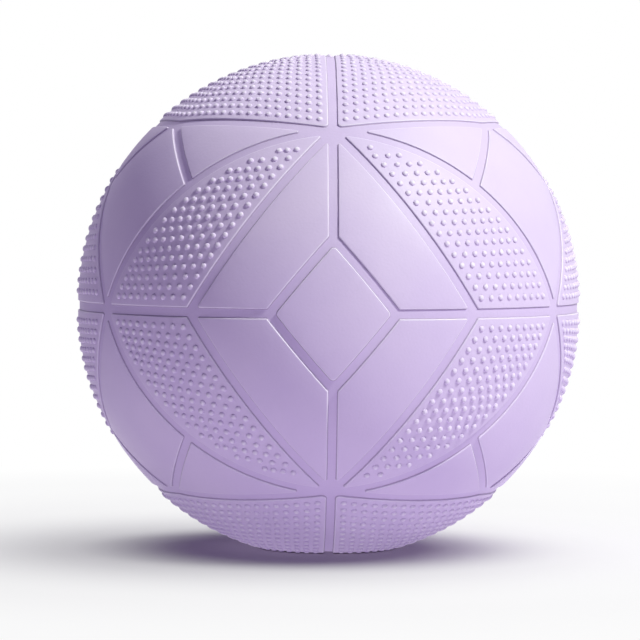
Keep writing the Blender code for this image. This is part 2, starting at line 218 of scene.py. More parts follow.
class ValveSizes(bpy.types.PropertyGroup):
    """Sizes of the valve's collar and its plug"""

    bore_diameter: length("Bore diameter", "Hole that the plug seals", 0.0078)
    running_gap: length("Running gap", "Between the plug's ribs and the bore", 0.0003)
    bond_gap: length("Bond gap", "Fine line round the collar and under the plug's head", 0.0003)
    head_diameter: length("Head diameter", "Across the plug's head", 0.0124)
    head_thickness: length("Head thickness", "Of the plug's head", 0.0016)
    stem_length: length("Stem length", "Of the plug's stem under the head", 0.0110)
    tip_length: length("Tip length", "Of the taper at the stem's end", 0.0020)
    rib_height: length("Rib height", "Of the sealing ribs over the stem", 0.0004)
    rib_length: length("Rib length", "Of one rib along the stem", 0.0018)
    rib_count: whole("Ribs", "Sealing ribs on the stem", 3, 1, 6)
    nail_gap: length("Nail gap", "Round the plug's head, to lift it by", 0.0008)
    rim_width: length("Rim width", "Of the collar's face round the recess", 0.0030)
    flange_reach: length("Flange reach", "Of the collar under the carcass", 0.0050)
    flange_thickness: length("Flange thickness", "Of the collar under the carcass", 0.0012)
    boss_wall: length("Boss wall", "Round the bore", 0.0030)
    boss_length: length("Boss length", "Of the collar's boss under its flange", 0.0100)
    lip_radius: length("Lip radius", "Rounding of the collar's and the plug's edges", 0.0004)
    turn_steps: whole("Turn steps", "Steps round the valve", 64, 24, 128)


class BallFinish(bpy.types.PropertyGroup):
    """Colours and gloss of the ball"""

    panel_colour: colour("Panels", "Smooth panels", (0.525, 0.405, 0.680))
    stud_colour: colour("Studded panels", "Panels with studs", (0.525, 0.405, 0.680))
    channel_colour: colour("Channels", "Carcass seen between the panels", (0.500, 0.378, 0.662))
    collar_colour: colour("Collar", "Valve's collar", (0.480, 0.362, 0.642))
    plug_colour: colour("Plug", "Valve's plug", (0.780, 0.755, 0.830))
    roughness: share("Roughness", "Gloss of the soft rubber", 0.52)


class StageSettings(bpy.types.PropertyGroup):
    """Floor, light and camera"""

    floor_colour: colour("Floor", "Colour of the floor", (0.52, 0.52, 0.515))
    key_power: watts("Key power", "Of the main lamp", 23.1)
    key_colour: colour("Key colour", "Of the main lamp", (0.865, 1.000, 0.735))
    key_size: length("Key size", "Across the main lamp", 0.18)
    key_distance: length("Key distance", "From the ball to the main lamp", 1.25)
    key_height: angle("Key height", "Of the main lamp over the waist", 46.0)
    key_side: angle("Key side", "Of the main lamp, to the right of the camera", 56.0)
    fill_power: watts("Fill power", "Of the lamp in front", 3.3)
    back_power: watts("Back power", "Of the lamp behind on the left", 4.1)
    bounce_power: watts("Bounce power", "Of the lit floor round the ball", 0.78)
    floor_power: watts("Floor power", "Of the floor's own lamp", 40.0)
    ambient_colour: colour("Ambient", "Soft light from all round", (0.012, 0.000, 0.068))
    camera_distance: length("Camera distance", "From the ball's middle", 1.664)
    camera_height: angle("Camera height", "Over the waist", 1.91)
    camera_side: angle("Camera side", "To the right of the front", -1.12)
    camera_roll: angle("Camera roll", "About the line of sight", 0.31)
    lens: FloatProperty(name="Lens", description="Focal length of the camera", default=203.3, unit="CAMERA")


class Ball:
    """Sizes of the ball that the pieces share, worked out from the scene's properties."""

    def __init__(self, context):
        self.sizes = context.scene.ball_sizes
        self.radius = self.sizes.ball_diameter / 2
        self.floor_radius = self.radius - self.sizes.channel_depth
        self.centre_height = self.radius - self.sizes.squash_depth
        self.half_channel = self.sizes.channel_width / 2
        valve = context.scene.ball_valve
        self.recess_radius = valve.head_diameter / 2 + valve.nail_gap
        self.collar_radius = self.recess_radius + valve.rim_width
        self.hole_radius = self.collar_radius + valve.bond_gap

    def inset(self, edge, point):
        """How far a point on the unit ball lies inside a panel, from one of its edges' channel sides."""
        normal, offset = edge
        return (math.asin(normal.dot(point)) - math.asin(offset)) * self.radius - self.half_channel

    def moved_in(self, edge, distance):
        """The same edge, moved into its panel by a distance along the ball."""
        normal, offset = edge
        return normal, math.sin(math.asin(offset) + distance / self.radius)

    def pressed(self, point):
        """A point about the ball's centre, flattened where the ball's weight presses it on the ground."""
        lowest = self.sizes.squash_depth - point.length
        return Vector((point.x, point.y, max(point.z, lowest)))

    def placing(self, turn=0.0):
        """From the ball's centre to its place over the ground, turned about the upright axis."""
        return Matrix.Translation((0, 0, self.centre_height)) @ Matrix.Rotation(turn, 4, "Z")

    def valve_placing(self):
        """From a piece turned about Z to its place in the valve's sector, pointing out of the ball."""
        turn = sectors.index(valve_sector) * sector_turn
        return self.placing(turn) @ Matrix.Rotation(math.radians(90), 4, "X")


# The panel pattern on the unit ball

def direction(latitude, longitude):
    """Unit vector at a place on the ball. Longitude 0 is the front and runs to the right."""
    level = Vector((math.sin(longitude), -math.cos(longitude), 0))
    return level * math.cos(latitude) + Vector((0, 0, math.sin(latitude)))


def bowed_edge(start, end, bow=0.0):
    """Circle from start to end, its middle bowed to the left of the straight course.

    An edge is a normal and an offset. The panel it bounds lies on its left, where normal . point >= offset.
    """
    side = start.cross(end).normalized()
    middle = (start + end).normalized() * math.cos(bow) + side * math.sin(bow)
    normal = (middle - start).cross(end - middle).normalized()
    return normal, normal.dot(start)


def reversed_edge(edge):
    """The same circle, bounding the panel on its other side."""
    normal, offset = edge
    return -normal, -offset


def mirrored(point):
    """A point or a normal, reflected in the upright plane midway between two diamonds."""
    across = direction(0, half_sector + math.pi / 2)
    return point - across * 2 * point.dot(across)


def mirrored_edge(edge):
    """An edge, reflected in the same plane."""
    normal, offset = edge
    return mirrored(normal), offset


def turn_along(edge, start, end):
    """Angle about an edge's own centre, going round it from start to end."""
    normal, offset = edge
    centre = normal * offset
    from_spoke = start - centre
    to_spoke = end - centre
    turn = math.atan2(normal.dot(from_spoke.cross(to_spoke)), from_spoke.dot(to_spoke))
    return turn % (2 * math.pi)


def point_along(edge, start, turn):
    """The point reached from start by a turn about the edge's own centre."""
    normal, offset = edge
    centre = normal * offset
    return centre + Quaternion(normal, turn) @ (start - centre)


def crossing(first, second, near):
    """Where two edges' circles cross, at the crossing nearest to a given point."""
    (normal_a, offset_a), (normal_b, offset_b) = first, second
    alike = normal_a.dot(normal_b)
    spread = 1 - alike ** 2
    base = (normal_a * (offset_a - offset_b * alike) + normal_b * (offset_b - offset_a * alike)) / spread
    reach = math.sqrt(max(0.0, 1 - base.length_squared) / spread)
    along = normal_a.cross(normal_b) * reach
    return max((base + along, base - along), key=near.dot)


def panel_pattern(sizes):
    """Corners and edges of each kind of panel, right of the front diamond and above the waist."""
    top = direction(sizes.diamond_half_height, 0)
    bottom = direction(-sizes.diamond_half_height, 0)
    east = direction(0, sizes.diamond_half_width)
    west = direction(0, -sizes.diamond_half_width)
    node = direction(sizes.node_latitude, 0)
    foot = direction(0, sizes.crescent_foot)
    waist = direction(0, half_sector)
    shoulder = direction(sizes.shoulder_latitude, half_sector)
    pole = Vector((0, 0, 1))

    outer = bowed_edge(node, waist, sizes.crescent_bow)
    inner = bowed_edge(foot, node, sizes.flank_bow)
    ring = bowed_edge(node, shoulder, sizes.ring_bow)
    seam = bowed_edge(pole, node)
    corner_turn = turn_along(outer, node, waist) * sizes.kite_corner_share
    corner = point_along(outer, node, corner_turn)
    strut = bowed_edge(shoulder, corner)

    diamond = (east, top, west, bottom)
    diamond_edges = [bowed_edge(a, b) for a, b in zip(diamond, diamond[1:] + (east,))]
    flank_edges = (bowed_edge(top, east), bowed_edge(east, foot), inner, bowed_edge(node, top))
    crescent_edges = (reversed_edge(inner), bowed_edge(foot, waist), reversed_edge(outer))
    shoulder_edges = (outer, reversed_edge(strut), reversed_edge(ring))
    kite_edges = (mirrored_edge(outer), mirrored_edge(strut), strut, outer)
    cap_edges = (ring, mirrored_edge(ring), mirrored_edge(seam), seam)
    return {
        "diamond": (diamond, diamond_edges),
        "flank": ((top, east, foot, node), flank_edges),
        "crescent": ((node, foot, waist), crescent_edges),
        "shoulder": ((node, corner, shoulder), shoulder_edges),
        "kite": ((waist, mirrored(corner), shoulder, corner), kite_edges),
        "cap": ((node, shoulder, mirrored(node), pole), cap_edges),
    }


# Panels as closed meshes about the ball's centre

def way_out(edge, tip):
    """Direction along the ball at a point, straight out across an edge."""
    normal = edge[0]
    return (tip * normal.dot(tip) - normal).normalized()


def panel_rings(ball, corners, edges, corner_radius):
    """Loops of points round a panel on the unit ball, one for each step of the edge section.

    The corners are true arcs about one point each, so all loops have the same count.
    """
    shrunk = [ball.moved_in(edge, ball.half_channel + corner_radius) for edge in edges]
    count = len(edges)
    tips = [crossing(shrunk[i - 1], shrunk[i], corners[i]) for i in range(count)]
    loops = []
    for reach, _, _ in edge_section:
        spread = (corner_radius + reach) / ball.radius
        loop = []
        for i, edge in enumerate(edges):
            tip = tips[i]
            next_tip = tips[(i + 1) % count]
            before = way_out(edges[i - 1], tip)
            after = way_out(edge, tip)
            bend = math.atan2(tip.dot(before.cross(after)), before.dot(after))
            corner_steps = max(2, math.ceil(abs(bend) / corner_step))
            for k in range(corner_steps):
                spoke = Quaternion(tip, bend * k / corner_steps) @ before
                loop.append(tip * math.cos(spread) + spoke * math.sin(spread))
            start = tip * math.cos(spread) + after * math.sin(spread)
            end = next_tip * math.cos(spread) + way_out(edge, next_tip) * math.sin(spread)
            run = (edge[0], edge[0].dot(start))
            turn = turn_along(run, start, end)
            run_steps = max(2, round((next_tip - tip).length * ball.radius / ball.sizes.edge_step))
            loop.extend(point_along(run, start, turn * k / run_steps) for k in range(run_steps))
        loops.append(loop)
    return loops


def hole_rings(ball, out):
    """Loops round the valve's hole in a panel, one for each step of the edge section."""
    side = out.orthogonal().normalized()
    loops = []
    for reach, _, _ in edge_section:
        spread = (ball.hole_radius - reach * hole_reach_share) / ball.radius
        spoke = out * math.cos(spread) + side * math.sin(spread)
        loops.append([Quaternion(out, -2 * math.pi * k / hole_steps) @ spoke for k in range(hole_steps)])
    return loops


def panel_shape(ball, corners, edges, corner_radius, holed=False, sites=()):
    """One panel as a closed bmesh about the ball's centre, with its stud sites as loose flagged points."""
    radius = ball.radius
    out = sum(corners, Vector()).normalized()
    side = out.orthogonal().normalized()
    up = out.cross(side)
    groups = [panel_rings(ball, corners, edges, corner_radius)]
    if holed:
        groups.append(hole_rings(ball, out))
    hole_clear = (ball.hole_radius + ball.sizes.face_step) / radius if holed else 0.0

    # The face is divided on a plane that the ball is projected on, and raised to the ball again
    def flattened(point):
        return Vector((point.dot(side), point.dot(up))) * (2 / (1 + point.dot(out)))

    def raised(spot):
        depth = (4 - spot.length_squared) / (4 + spot.length_squared)
        return out * depth + (side * spot.x + up * spot.y) * ((1 + depth) / 2)

    spots = []
    links = []
    for loops in groups:
        base = len(spots)
        count = len(loops[0])
        spots.extend(flattened(point) for point in loops[0])
        links.extend((base + k, base + (k + 1) % count) for k in range(count))
    step = ball.sizes.face_step / radius
    row_step = step * math.sin(math.radians(60))
    rows = math.ceil(2 / row_step)
    columns = math.ceil(2 / step)
    keep_off = -edge_section[0][0] + ball.sizes.face_step / 2
    for row in range(-rows, rows + 1):
        for column in range(-columns, columns + 1):
            spot = Vector(((column + row % 2 / 2) * step, row * row_step))
            point = raised(spot)
            clear_of_hole = point.dot(out) < math.cos(hole_clear) if holed else True
            if clear_of_hole and all(ball.inset(edge, point) > keep_off for edge in edges):
                spots.append(spot)
    inside_only = 1
    flat_points, _, faces, origins, *_ = delaunay_2d_cdt(spots, links, [], inside_only, weld_distance)

    shape = bmesh.new()
    wear_and_painted_light = shape.verts.layers.float.new("wear_and_painted_light")
    site_mark = shape.verts.layers.bool.new("stud_site")
    back_radius = radius + edge_section[-1][1]
    face_verts = [shape.verts.new(raised(spot) * radius) for spot in flat_points]
    back_verts = [shape.verts.new(raised(spot) * back_radius) for spot in flat_points]
    for face in faces:
        middle = sum((face_verts[k].co for k in face), Vector()).normalized()
        if holed and middle.dot(out) > math.cos(ball.hole_radius / radius):
            continue
        shape.faces.new([face_verts[k] for k in face])
        shape.faces.new([back_verts[k] for k in reversed(face)])

    found = {}
    for k, sources in enumerate(origins):
        for source in sources:
            found[source] = k
    base = 0
    for loops in groups:
        count = len(loops[0])
        rings = [[face_verts[found[base + k]] for k in range(count)]]
        for loop, (_, height, wear_and_light_mark) in zip(loops[1:], edge_section[1:]):
            ring = [shape.verts.new(point * (radius + height)) for point in loop]
            for vert in ring:
                vert[wear_and_painted_light] = wear_and_light_mark
            rings.append(ring)
        rings.append([back_verts[found[base + k]] for k in range(count)])
        for first, second in zip(rings, rings[1:]):
            for k in range(count):
                n = (k + 1) % count
                shape.faces.new((first[k], second[k], second[n], first[n]))
        base += count
    stray = [vert for vert in shape.verts if not vert.link_faces]
    bmesh.ops.delete(shape, geom=stray, context="VERTS")
    for point in sites:
        vert = shape.verts.new(point * radius)
        vert[site_mark] = True
    return shape


def made_mesh(name, shape):
    """A finished bmesh as a mesh."""
    mesh = bpy.data.meshes.new(name)
    shape.to_mesh(mesh)
    shape.free()
    return mesh


def panel_mesh(ball, name, shape, sideways=1, upward=1):
    """Mirror a panel's bmesh as asked, press it flat on the ground and make it a mesh."""
    flip = Matrix.Diagonal((sideways, 1, upward, 1))
    bmesh.ops.transform(shape, matrix=flip, verts=shape.verts[:])
    everything = shape.verts[:] + shape.edges[:] + shape.faces[:]
    ground = Vector((0, 0, -ball.centre_height))
    bmesh.ops.bisect_plane(shape, geom=everything, dist=weld_distance, plane_co=ground, plane_no=(0, 0, 1))
    site_mark = shape.verts.layers.bool["stud_site"]
    pressed_sites = [vert for vert in shape.verts if vert[site_mark] and vert.co.z < ground.z]
    bmesh.ops.delete(shape, geom=pressed_sites, context="VERTS")
    for vert in shape.verts:
        vert.co = ball.pressed(vert.co)
    bmesh.ops.recalc_face_normals(shape, faces=shape.faces[:])
    return made_mesh(name, shape)


# Rows of stud sites

def spaced(row, pitch, spread, radius):
    """Points at even steps along a row of close points, with the pitch a little wider at its start."""
    reaches = [0.0]
    for first, second in zip(row, row[1:]):
        reaches.append(reaches[-1] + (second - first).length * radius)
    steps = round(reaches[-1] / pitch)
    if steps == 0:
        return [row[len(row) // 2]]
    points = []
    place = 0
    for k in range(steps + 1):
        part = k / steps
        target = reaches[-1] * part * (1 + spread * (1 - part))
        while place < len(row) - 2 and reaches[place + 1] < target:
            place += 1
        along = (target - reaches[place]) / (reaches[place + 1] - reaches[place])
        points.append(row[place].lerp(row[place + 1], along).normalized())
    return points


def crescent_sites(ball, studs, edges, lean):
    """Stud sites on a crescent, in rows that start at its flank and keep near the waist's level."""
    inner, _, outer = edges
    sizes = ball.sizes
    first = (ball.half_channel + studs.waist_margin) / ball.radius
    pitch = studs.crescent_rows / ball.radius
    longitudes = [half_sector * n / row_steps for n in range(row_steps + 1)]
    sites = []
    for k in range(math.ceil((sizes.node_latitude - first) / pitch)):
        level = first + k * pitch
        start = sizes.crescent_foot * (1 - level / sizes.node_latitude)
        slope = math.radians(lean) * min(1, (k + 1) / lean_rows) / lean_run
        row = []
        for longitude in longitudes:
            point = direction(level + slope * (longitude - start), longitude)
            clear_inside = ball.inset(inner, point) > studs.flank_margin
            if clear_inside and ball.inset(outer, point) > studs.outer_margin:
                row.append(point)
        if len(row) > 1:
            sites.extend(spaced(row, studs.crescent_pitch, studs.row_spread, ball.radius))
    return sites


def cap_sites(ball, studs, edges):
    """Stud sites on a polar cap, in rows that follow its lower edge from seam to seam."""
    ring, _, _, seam = edges
    side = ball.moved_in(seam, ball.half_channel + studs.seam_margin)
    middle_plane = (direction(0, half_sector + math.pi / 2), 0.0)
    pole = Vector((0, 0, 1))
    sites = []
    margin = ball.half_channel + studs.ring_margin
    while True:
        line = ball.moved_in(ring, margin)
        start = crossing(line, side, pole)
        turn = turn_along(line, start, crossing(line, middle_plane, pole))
        if turn > math.pi:
            return sites
        half_row = [point_along(line, start, turn * n / row_steps) for n in range(row_steps + 1)]
        row = half_row + [mirrored(point) for point in half_row[-2::-1]]
        sites.extend(spaced(row, studs.cap_pitch, 0.0, ball.radius))
        margin += studs.cap_rows


# Node trees

def feed(tree, target, source):
    """Link a node's output to an input, or set the input's own value."""
    if isinstance(source, bpy.types.NodeSocket):
        tree.links.new(source, target)
    else:
        target.default_value = source


def add_node(tree, kind, inputs=None, **options):
    """New node with its options set, and its inputs fed by name or number."""
    node = tree.nodes.new(kind)
    for name, value in options.items():
        setattr(node, name, value)
    for key, value in (inputs or {}).items():
        feed(tree, node.inputs[key], value)
    return node


def math_of(tree, operation, *values):
    """Output of a new math node."""
    return add_node(tree, "ShaderNodeMath", dict(enumerate(values)), operation=operation).outputs[0]


def mixed(tree, factor, first, second):
    """Output of a new node that mixes two colours."""
    inputs = {"Factor": factor, 6: first, 7: second}
    return add_node(tree, "ShaderNodeMix", inputs, data_type="RGBA").outputs[2]


# Studs as domes, by Geometry Nodes

def stud_tree():
    """Node tree that raises a dome on every flagged point, square to the ball, and joins it to a panel."""
    tree = bpy.data.node_groups.get("stud_field")
    if tree:
        return tree
    tree = bpy.data.node_groups.new("stud_field", "GeometryNodeTree")
    tree.is_modifier = True
    sockets = {
        "Geometry": "NodeSocketGeometry",
        "Stud Diameter": "NodeSocketFloat",
        "Stud Height": "NodeSocketFloat",
        "Stud Sink": "NodeSocketFloat",
        "Stud Sides": "NodeSocketInt",
        "Stud Rings": "NodeSocketInt",
        "Ball Centre": "NodeSocketVector",
        "Material": "NodeSocketMaterial",
    }
    for name, kind in sockets.items():
        tree.interface.new_socket(name=name, in_out="INPUT", socket_type=kind)
    tree.interface.new_socket(name="Geometry", in_out="OUTPUT", socket_type="NodeSocketGeometry")

    def node(kind, inputs=None, **options):
        return add_node(tree, kind, inputs, **options).outputs

    def calc(operation, *values):
        return math_of(tree, operation, *values)

    given = node("NodeGroupInput")
    here = node("GeometryNodeInputPosition")["Position"]
    flag = node("GeometryNodeInputNamedAttribute", {"Name": "stud_site"}, data_type="BOOLEAN")
    parted = node("GeometryNodeSeparateGeometry", {
        "Geometry": given["Geometry"],
        "Selection": flag["Attribute"],
    }, domain="POINT")

    # A grid rolled up: across it runs round the stud, up it runs from the foot's middle to the top
    ring_steps = calc("ADD", given["Stud Rings"], 1)
    grid = node("GeometryNodeMeshGrid", {
        "Size X": 1.0,
        "Size Y": 1.0,
        "Vertices X": calc("ADD", given["Stud Sides"], 1),
        "Vertices Y": calc("ADD", ring_steps, 1),
    })
    spot = node("ShaderNodeSeparateXYZ", {"Vector": here})
    round_turn = calc("MULTIPLY", calc("ADD", spot["X"], 0.5), 2 * math.pi)
    step_up = calc("MULTIPLY", calc("ADD", spot["Y"], 0.5), ring_steps)
    on_foot = calc("MINIMUM", step_up, 1.0)
    part_up = calc("MAXIMUM", calc("SUBTRACT", step_up, 1.0), 0.0)
    lift = calc("MULTIPLY", calc("DIVIDE", part_up, given["Stud Rings"]), math.pi / 2)
    top_share = calc("SINE", lift)
    full_height = calc("ADD", given["Stud Height"], given["Stud Sink"])
    half_width = calc("MULTIPLY", given["Stud Diameter"], 0.5)
    reach = calc("MULTIPLY", calc("MULTIPLY", half_width, calc("COSINE", lift)), on_foot)
    rolled = node("ShaderNodeCombineXYZ", {
        "X": calc("MULTIPLY", reach, calc("COSINE", round_turn)),
        "Y": calc("MULTIPLY", reach, calc("SINE", round_turn)),
        "Z": calc("SUBTRACT", calc("MULTIPLY", top_share, full_height), given["Stud Sink"]),
    })
    # The stud's top is marked to pale like a worn edge: partly worn rubber, partly painted highlight
    wear_and_light_mark = node("GeometryNodeStoreNamedAttribute", {
        "Geometry": grid["Mesh"],
        "Name": "wear_and_painted_light",
        "Value": calc("MULTIPLY", top_share, top_share),
    }, data_type="FLOAT", domain="POINT")
    dome = node("GeometryNodeSetPosition", {"Geometry": wear_and_light_mark["Geometry"], "Position": rolled["Vector"]})
    closed = node("GeometryNodeMergeByDistance", {"Geometry": dome["Geometry"], "Distance": stud_weld})

    outward = node("ShaderNodeVectorMath", {0: here, 1: given["Ball Centre"]}, operation="SUBTRACT")
    square = node("FunctionNodeAlignRotationToVector", {"Vector": outward["Vector"]}, axis="Z")
    planted = node("GeometryNodeInstanceOnPoints", {
        "Points": parted["Selection"],
        "Instance": closed["Geometry"],
        "Rotation": square["Rotation"],
    })
    joined = add_node(tree, "GeometryNodeJoinGeometry", {"Geometry": planted["Instances"]})
    feed(tree, joined.inputs["Geometry"], parted["Inverted"])
    real = node("GeometryNodeRealizeInstances", {"Geometry": joined.outputs["Geometry"]})

    # Studs at the edge of the resting patch are pressed level with the ground
    place = node("ShaderNodeSeparateXYZ", {"Vector": here})
    over_ground = calc("MAXIMUM", place["Z"], 0.0)
    level = node("ShaderNodeCombineXYZ", {"X": place["X"], "Y": place["Y"], "Z": over_ground})
    rested = node("GeometryNodeSetPosition", {"Geometry": real["Geometry"], "Position": level["Vector"]})
    painted = node("GeometryNodeSetMaterial", {
        "Geometry": rested["Geometry"],
        "Material": given["Material"],
    })
    add_node(tree, "NodeGroupOutput", {"Geometry": painted["Geometry"]})
    return tree


def raise_studs(context, ball, piece, material):
    """Turn a panel's flagged points into studs and keep the result as a plain mesh."""
    studs = context.scene.ball_studs
    tree = stud_tree()
    modifier = piece.modifiers.new("stud_field", "NODES")
    modifier.node_group = tree
    values = {
        "Stud Diameter": studs.stud_diameter,
        "Stud Height": studs.stud_height,
        "Stud Sink": studs.stud_sink,
        "Stud Sides": studs.stud_sides,
        "Stud Rings": studs.stud_rings,
        "Ball Centre": (0.0, 0.0, ball.centre_height),
        "Material": material,
    }
    for item in tree.interface.items_tree:
        if item.in_out == "INPUT" and item.name in values:
            modifier[item.identifier] = values[item.name]
    piece.update_tag()
    graph = context.evaluated_depsgraph_get()
    plain = bpy.data.meshes.new_from_object(piece.evaluated_get(graph))
    piece.modifiers.remove(modifier)
    bare = piece.data
    piece.data = plain
    bpy.data.meshes.remove(bare)
    plain.name = piece.name


# Turned pieces

def turned(name, profile, steps, closed):
    """Turn a profile of (radius, height) points about Z. A closed profile makes a ring-like body."""
    shape = bmesh.new()
    points = [shape.verts.new((radius, 0, height)) for radius, height in profile]
    for first, second in zip(points, points[1:]):
        shape.edges.new((first, second))
    if closed:
        shape.edges.new((points[-1], points[0]))
    bmesh.ops.spin(
        shape,
        geom=shape.verts[:] + shape.edges[:],
        cent=(0, 0, 0),
        axis=(0, 0, 1),
        angle=2 * math.pi,
        steps=steps,
        use_merge=True,
    )
    bmesh.ops.remove_doubles(shape, verts=shape.verts[:], dist=weld_distance)
    bmesh.ops.recalc_face_normals(shape, faces=shape.faces[:])
    return made_mesh(name, shape)


def sphere_height(radius, reach):
    """Height of a ball's surface over its centre, at a reach from the axis."""
    return math.sqrt(radius ** 2 - reach ** 2)


def dome_run(radius, inner_reach, outer_reach, steps):
    """Profile points across a face that follows the ball."""
    reaches = [inner_reach + (outer_reach - inner_reach) * k / steps for k in range(steps + 1)]
    return [(reach, sphere_height(radius, reach)) for reach in reaches]


def rounded(profile, radius, steps=4):
    """Round the inner corners of an open profile, each by the same radius where it has room."""
    smoothed = [profile[0]]
    for before, corner, after in zip(profile, profile[1:], profile[2:]):
        here = Vector(corner)
        back = Vector(before) - here
        ahead = Vector(after) - here
        bend = back.angle(ahead, math.pi)
        if bend > flat_bend:
            smoothed.append(corner)
            continue
        room = min(back.length * longest_cut, ahead.length * longest_cut)
        cut = min(radius / math.tan(bend / 2), room)
        start = here + back.normalized() * cut
        end = here + ahead.normalized() * cut
        for k in range(steps + 1):
            part = k / steps
            point = start * (1 - part) ** 2 + here * (2 * part * (1 - part)) + end * part ** 2
            smoothed.append((point.x, point.y))
    smoothed.append(profile[-1])
    return smoothed


# Finish

def rubber(name, tint, roughness):
    """Soft moulded rubber: faint mottling, fine grain, handling marks, painted shade in the creases,
    and edges and stud tops paled partly as worn rubber and partly as painted highlight.
    """
    material = bpy.data.materials.get(name)
    if material:
        return material
    material = bpy.data.materials.new(name)
    material.use_nodes = True
    tree = material.node_tree
    spots = add_node(tree, "ShaderNodeTexCoord").outputs["Object"]
    wear_and_painted_light = add_node(tree, "ShaderNodeAttribute", attribute_name="wear_and_painted_light").outputs["Fac"]

    def noise(scale, detail, vector=spots):
        inputs = {"Vector": vector, "Scale": scale, "Detail": detail}
        return add_node(tree, "ShaderNodeTexNoise", inputs).outputs["Fac"]

    def ranged(value, low, high, start=0.3, end=0.7):
        inputs = {"Value": value, "From Min": start, "From Max": end, "To Min": low, "To Max": high}
        return add_node(tree, "ShaderNodeMapRange", inputs).outputs["Result"]

    def shaded(red, green, blue):
        parts = [min(1.0, part * factor) for part, factor in zip(tint, (red, green, blue))]
        return (*parts, 1.0)

    mottling = ranged(noise(scale=26.0, detail=4.0), low=0.0, high=1.0)
    mottled = mixed(tree, mottling, shaded(0.965, 0.955, 0.985), shaded(1.03, 1.035, 1.015))
    specks = ranged(noise(scale=900.0, detail=2.0), low=0.0, high=0.30, start=0.55, end=0.75)
    speckled = mixed(tree, specks, mottled, shaded(0.93, 0.93, 0.93))
    # Paler tint for worn edges and stud tops, lifted far enough to serve as painted highlight as well
    worn_and_highlit_tint = (*(part + (1.0 - part) * wear_and_highlight_lift for part in tint), 1.0)
    rubbed_and_highlit = math_of(tree, "MULTIPLY", wear_and_painted_light, ranged(noise(scale=60.0, detail=3.0), low=0.35, high=1.0))
    # Painted shade: where the edge section's mark is below zero, the crease at a panel's foot is darkened
    painted_crease_shade = math_of(tree, "MULTIPLY", wear_and_painted_light, -1.0)
    rubbed_and_highlit_tint = mixed(tree, rubbed_and_highlit, speckled, worn_and_highlit_tint)

    stretched = add_node(tree, "ShaderNodeMapping", {"Vector": spots, "Scale": (1.0, 1.0, 2.5)})
    marks = noise(scale=14.0, detail=5.0, vector=stretched.outputs["Vector"])
    handled = ranged(marks, low=roughness - 0.04, high=roughness + 0.05)
    swell = add_node(tree, "ShaderNodeBump", {
        "Strength": 0.08,
        "Distance": 0.002,
        "Height": noise(scale=38.0, detail=2.0),
    })
    grain = add_node(tree, "ShaderNodeBump", {
        "Strength": 0.30,
        "Distance": 0.0002,
        "Height": noise(scale=850.0, detail=2.0),
        "Normal": swell.outputs["Normal"],
    })
    surface = {
        # Base colour darkened in the creases as painted shade
        "Base Color": mixed(tree, painted_crease_shade, rubbed_and_highlit_tint, shaded(0.68, 0.68, 0.68)),
        "Roughness": math_of(tree, "MULTIPLY_ADD", rubbed_and_highlit, -0.05, handled),
        "Normal": grain.outputs["Normal"],
        "Specular IOR Level": 0.25,
    }
    shader = tree.nodes["Principled BSDF"]
    for key, value in surface.items():
        feed(tree, shader.inputs[key], value)
    return material


# Pieces

def add_piece(context, name, mesh, material):
    """A new piece at the origin."""
    mesh.materials.append(material)
    piece = bpy.data.objects.new(name, mesh)
    context.scene.collection.objects.link(piece)
    return piece


def settle(piece, body, node):
    """Smooth a finished piece and let it ride on its body in place of its node."""
    piece.data.shade_smooth()
    piece.data.set_sharp_from_angle(angle=sharp_angle)
    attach(piece, body)
    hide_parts(node)


def panel_piece(context, ball, node, mesh, material, turn, studded=False):
    """Put one panel's mesh in its sector, with its studs, in place of its node."""
    placed = mesh.copy()
    placed.name = node + "_panel"
    placed.transform(ball.placing(turn))
    piece = add_piece(context, node + "_panel", placed, material)
    if studded:
        raise_studs(context, ball, piece, material)
    settle(piece, "ball", node)


def gap_panels(context, kind, material, sites=()):
    """The six like panels that lie between two diamonds, above and below the waist."""
    ball = Ball(context)
    corners, edges = panel_pattern(ball.sizes)[kind]
    corner_radius = ball.sizes.corner_radius if kind == "cap" else ball.sizes.tip_radius
    for level, upward in levels:
        shape = panel_shape(ball, corners, edges, corner_radius, sites=sites)
        mesh = panel_mesh(ball, f"{kind}_{level}", shape, upward=upward)
        for index, gap in enumerate(gaps):
            node = f"{kind}_{gap}_{level}"
            panel_piece(context, ball, node, mesh, material, index * sector_turn, bool(sites))
        bpy.data.meshes.remove(mesh)


def sector_panels(context, kind, material, sites_for=None):
    """The twelve like panels that lie four round each diamond."""
    ball = Ball(context)
    corners, edges = panel_pattern(ball.sizes)[kind]
    for level, upward in levels:
        for hand, sideways in hands:
            sites = sites_for(ball, edges, row_lean[level, hand]) if sites_for else ()
            shape = panel_shape(ball, corners, edges, ball.sizes.tip_radius, sites=sites)
            mesh = panel_mesh(ball, f"{kind}_{level}_{hand}", shape, sideways, upward)
            for index, sector in enumerate(sectors):
                node = f"{kind}_{sector}_{level}_{hand}"
                panel_piece(context, ball, node, mesh, material, index * sector_turn, bool(sites))
            bpy.data.meshes.remove(mesh)


def smooth_rubber(context):
    """Material of the smooth panels."""
    finish = context.scene.ball_finish
    return rubber("smooth_panel_rubber", tuple(finish.panel_colour), finish.roughness)


def studded_rubber(context):
    """Material of the panels with studs."""
    finish = context.scene.ball_finish
    return rubber("studded_panel_rubber", tuple(finish.stud_colour), finish.roughness)


